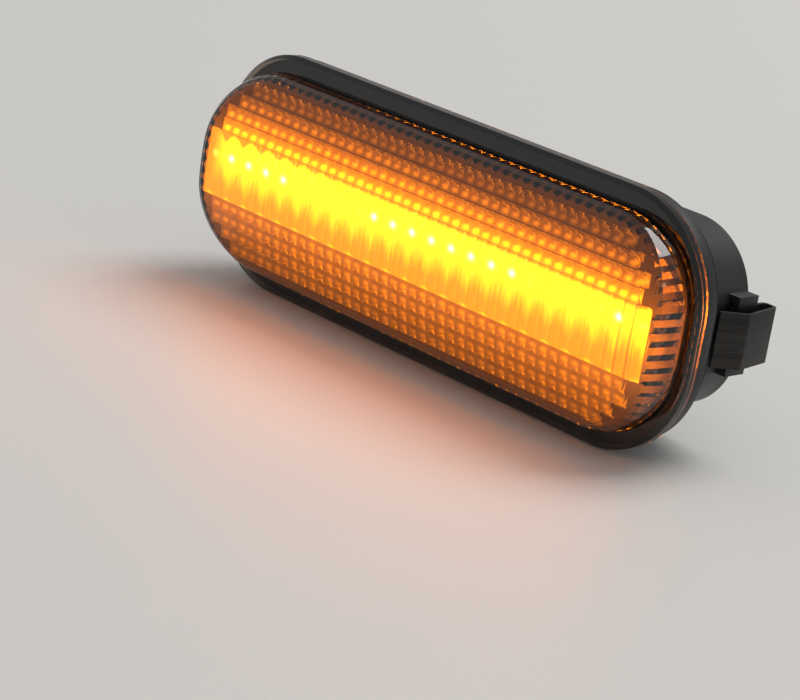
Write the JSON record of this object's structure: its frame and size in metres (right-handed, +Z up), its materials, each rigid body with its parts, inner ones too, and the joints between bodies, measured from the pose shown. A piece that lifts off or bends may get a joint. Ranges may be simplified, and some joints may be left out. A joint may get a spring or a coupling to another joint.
{
  "type": "side repeater lamp",
  "caption": "Snap-in LED side repeater lamp for a car wing, with a smoked rounded lens, pillow and flute optics, a black housing, a seal and a plug socket.",
  "frame": {"origin": "centre of the seating plane, the rear face of the gasket that lies on the car's panel", "axes": "+X along the lamp towards the spring clip, -Y out of the panel through the lens, +Z up across the lamp"},
  "size_m": [0.098, 0.0341, 0.037],
  "materials": {
    "smoked_polycarbonate": "polished moulding, lightly smoked",
    "black_abs": "fine moulded grain",
    "butyl_sealant": "tacky bead",
    "foam_rubber": "closed-cell foam",
    "metallised_plastic": "vacuum metallised, satin",
    "board_laminate": "white solder mask",
    "led_body": "white moulded",
    "amber_resin": "clear amber, lit",
    "zinc_plated_steel": "bright zinc",
    "spring_steel": "rolled strip, phosphated dark grey",
    "tinned_brass": "tin plated",
    "solder": "bright",
    "vent_membrane": "matt film",
    "chip_epoxy": "moulded epoxy",
    "resistor_film": "glazed",
    "capacitor_body": "fired"
  },
  "bodies": {
    "root": {"lens": "smoked_polycarbonate", "housing": "black_abs", "lens_sealant": "butyl_sealant", "panel_gasket": "foam_rubber", "reflector": "metallised_plastic", "circuit_board": "board_laminate", "board_screws": "zinc_plated_steel", "led_packages": "led_body", "led_windows": "amber_resin", "terminal_pins": "tinned_brass", "pin_solder": "solder", "spring_clip": "spring_steel", "vent_membrane": "vent_membrane", "sequencer_chip": "chip_epoxy", "chip_legs": "solder", "voltage_regulator": "chip_epoxy", "surge_suppressor": "chip_epoxy", "reverse_diode": "chip_epoxy", "string_resistors": "resistor_film", "filter_capacitors": "capacitor_body", "led_switches": "chip_epoxy"}
  },
  "joints": []
}
